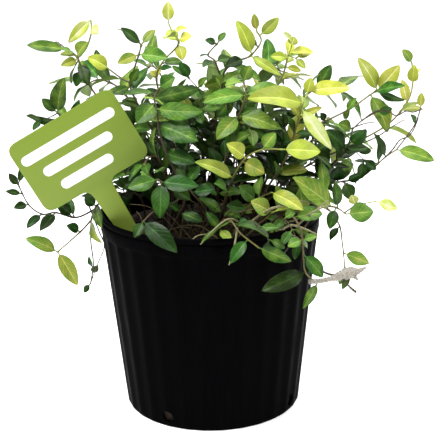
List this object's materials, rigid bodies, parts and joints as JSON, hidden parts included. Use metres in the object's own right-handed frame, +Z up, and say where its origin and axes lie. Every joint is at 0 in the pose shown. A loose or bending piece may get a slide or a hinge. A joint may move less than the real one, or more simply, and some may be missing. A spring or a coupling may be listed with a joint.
{
  "type": "potted minima asiatic jasmine",
  "caption": "Fluted round nursery pot filled with bark soil, growing a low spreading evergreen vine with wiry stems and small glossy paired leaves, marked by a blank plant label on a stake.",
  "frame": {"origin": "centre of the pot's flat underside, where it rests on the floor or bench", "axes": "+Z up; the front, which carries the plant label at its left, faces -Y; +X to the right seen from the front"},
  "size_m": [0.3199, 0.2361, 0.303],
  "materials": {
    "pot_plastic": "moulded black polypropylene with a soft sheen",
    "soil": "damp dark bark and peat potting mix, rough",
    "label_plastic": "printed green plastic sheet, smooth with a low sheen",
    "leaf": "waxy dark green leaf with a paler midrib, on a thin green-brown stem",
    "young_leaf": "soft lime-green new leaf on a pale green stem"
  },
  "bodies": {
    "root": {"pot": "pot_plastic", "soil": "soil", "plant_label": "label_plastic", "leafy_stem_01": "leaf", "leafy_stem_02": "leaf", "leafy_stem_03": "leaf", "young_shoot_01": "young_leaf", "leafy_stem_04": "leaf", "leafy_stem_05": "leaf", "young_shoot_02": "young_leaf", "leafy_stem_06": "leaf", "leafy_stem_07": "leaf", "leafy_stem_08": "leaf", "leafy_stem_09": "leaf", "young_shoot_03": "young_leaf", "young_shoot_04": "young_leaf", "leafy_stem_10": "leaf", "leafy_stem_11": "leaf", "leafy_stem_12": "leaf", "leafy_stem_13": "leaf", "young_shoot_05": "young_leaf", "young_shoot_06": "young_leaf", "leafy_stem_14": "leaf", "leafy_stem_15": "leaf", "leafy_stem_16": "leaf", "leafy_stem_30": "leaf", "leafy_stem_31": "leaf", "leafy_stem_17": "leaf", "leafy_stem_18": "leaf", "leafy_stem_19": "leaf", "leafy_stem_20": "leaf", "leafy_stem_21": "leaf", "leafy_stem_22": "leaf", "leafy_stem_23": "leaf", "leafy_stem_24": "leaf", "leafy_stem_25": "leaf", "leafy_stem_26": "leaf", "leafy_stem_27": "leaf", "leafy_stem_28": "leaf", "leafy_stem_29": "leaf"}
  },
  "joints": []
}
